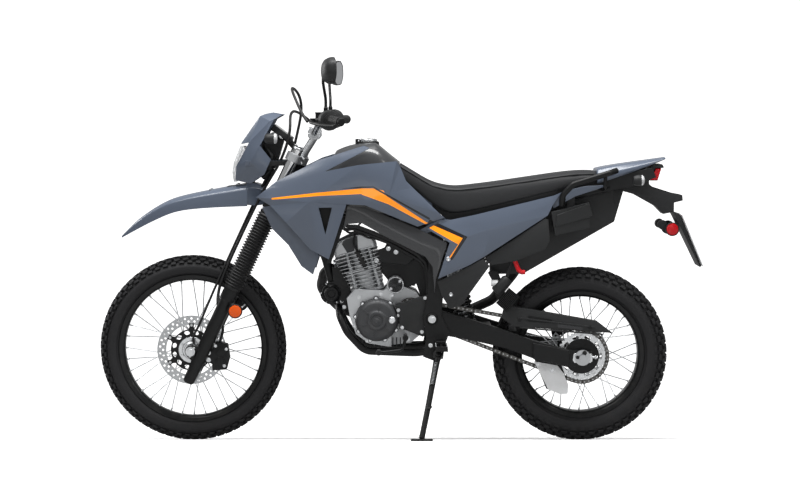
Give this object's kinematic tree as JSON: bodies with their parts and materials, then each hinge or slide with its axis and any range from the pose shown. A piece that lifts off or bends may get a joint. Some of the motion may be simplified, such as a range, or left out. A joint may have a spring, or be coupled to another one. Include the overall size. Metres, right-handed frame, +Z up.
{
  "type": "motorcycle",
  "caption": "Dual sport motorcycle with spoked wheels, a high front fender, a long flat saddle and an open single-cylinder engine, leaning on its side stand.",
  "frame": {"origin": "on the floor, at the middle of the leaning machine's outline seen from above", "axes": "+X to the rear, so the front wheel is at -X; +Y to the machine's right; +Z up"},
  "size_m": [2.226, 0.8589, 1.4583],
  "materials": {
    "black_plastic": "matte black",
    "black_rim": "gloss black",
    "black_rubber": "matte",
    "black_steel": "satin black",
    "blue_grey_plastic": "blue-grey with an orange stripe",
    "chain_steel": "oiled",
    "dark_alloy": "dark coated casting",
    "disc_steel": "ground",
    "engine_alloy": "cast",
    "exhaust_steel": "black, with a heat-tinted pipe",
    "fork_metal": "chromed tubes in black clamps",
    "graphite_plastic": "fine grain",
    "hub_metal": "cast, with bright spokes",
    "lamp_body": "dark reflector",
    "lamp_lens": "clear",
    "seat_cover": "grained black",
    "signal_lens": "orange and clear lenses on black stalks",
    "tail_lens": "red",
    "tank_paint": "blue-grey",
    "tyre": "matte block tread"
  },
  "bodies": {
    "chassis": {"frame": "black_steel", "swingarm": "black_steel", "rear_axle": "disc_steel", "rear_shock": "black_steel", "rear_caliper": "black_steel", "chain": "chain_steel", "chain_guards": "black_plastic", "engine_case": "dark_alloy", "cylinder": "engine_alloy", "generator_cover": "dark_alloy", "clutch_cover": "dark_alloy", "sprocket_cover": "black_plastic", "exhaust": "exhaust_steel", "intake": "black_plastic", "oil_cooler": "dark_alloy", "horn": "black_steel", "fuel_tank": "tank_paint", "tank_shrouds": "blue_grey_plastic", "side_trims": "graphite_plastic", "side_covers": "blue_grey_plastic", "side_panels": "black_plastic", "seat": "seat_cover", "tail_cowl": "blue_grey_plastic", "rear_fender": "black_plastic", "grab_rails": "black_steel", "rear_lights": "tail_lens", "tool_box": "black_plastic", "foot_controls": "black_steel"},
    "steering": {"fork_sliders": "black_steel", "fork_gaiters": "black_rubber", "fork_clamps": "fork_metal", "handlebar": "black_steel", "grips": "black_rubber", "hand_controls": "black_steel", "mirrors": "black_plastic", "front_fender": "blue_grey_plastic", "headlight_cowl": "blue_grey_plastic", "headlight_lens": "lamp_lens", "headlight_unit": "lamp_body", "instrument": "black_plastic", "front_indicators": "signal_lens", "front_caliper": "black_steel"},
    "front_wheel": {"front_tyre": "tyre", "front_rim": "black_rim", "front_hub": "hub_metal", "front_disc": "disc_steel"},
    "rear_wheel": {"rear_tyre": "tyre", "rear_rim": "black_rim", "rear_hub": "hub_metal", "rear_disc": "disc_steel", "rear_sprocket": "disc_steel"},
    "stand": {"side_stand": "black_steel"},
    "filler_lid": {"fuel_cap": "black_steel"}
  },
  "joints": [
    {"name": "steering_head", "type": "hinge", "parent": "chassis", "child": "steering", "pos_m": [-0.44406, 0.04806, 0.85952], "axis": [0.4289, -0.1413, 0.8922], "range_deg": [-42, 42]},
    {"name": "front_wheel_spin", "type": "hinge", "parent": "steering", "child": "front_wheel", "pos_m": [-0.768, 0.12999, 0.34229], "axis": [0, 0.9877, 0.1564], "continuous": true},
    {"name": "rear_wheel_spin", "type": "hinge", "parent": "chassis", "child": "rear_wheel", "pos_m": [0.672, 0.1334, 0.32075], "axis": [0, 0.9877, 0.1564], "continuous": true},
    {"name": "side_stand_fold", "type": "hinge", "parent": "chassis", "child": "stand", "pos_m": [0.14, -0.01979, 0.3099], "axis": [-0.0674, -0.9459, 0.3175], "range_deg": [0, 101.7]},
    {"name": "filler_lid_open", "type": "hinge", "parent": "chassis", "child": "filler_lid", "pos_m": [-0.158, 0.00899, 1.10621], "axis": [0, -0.9877, -0.1564], "range_deg": [0, 95]}
  ]
}
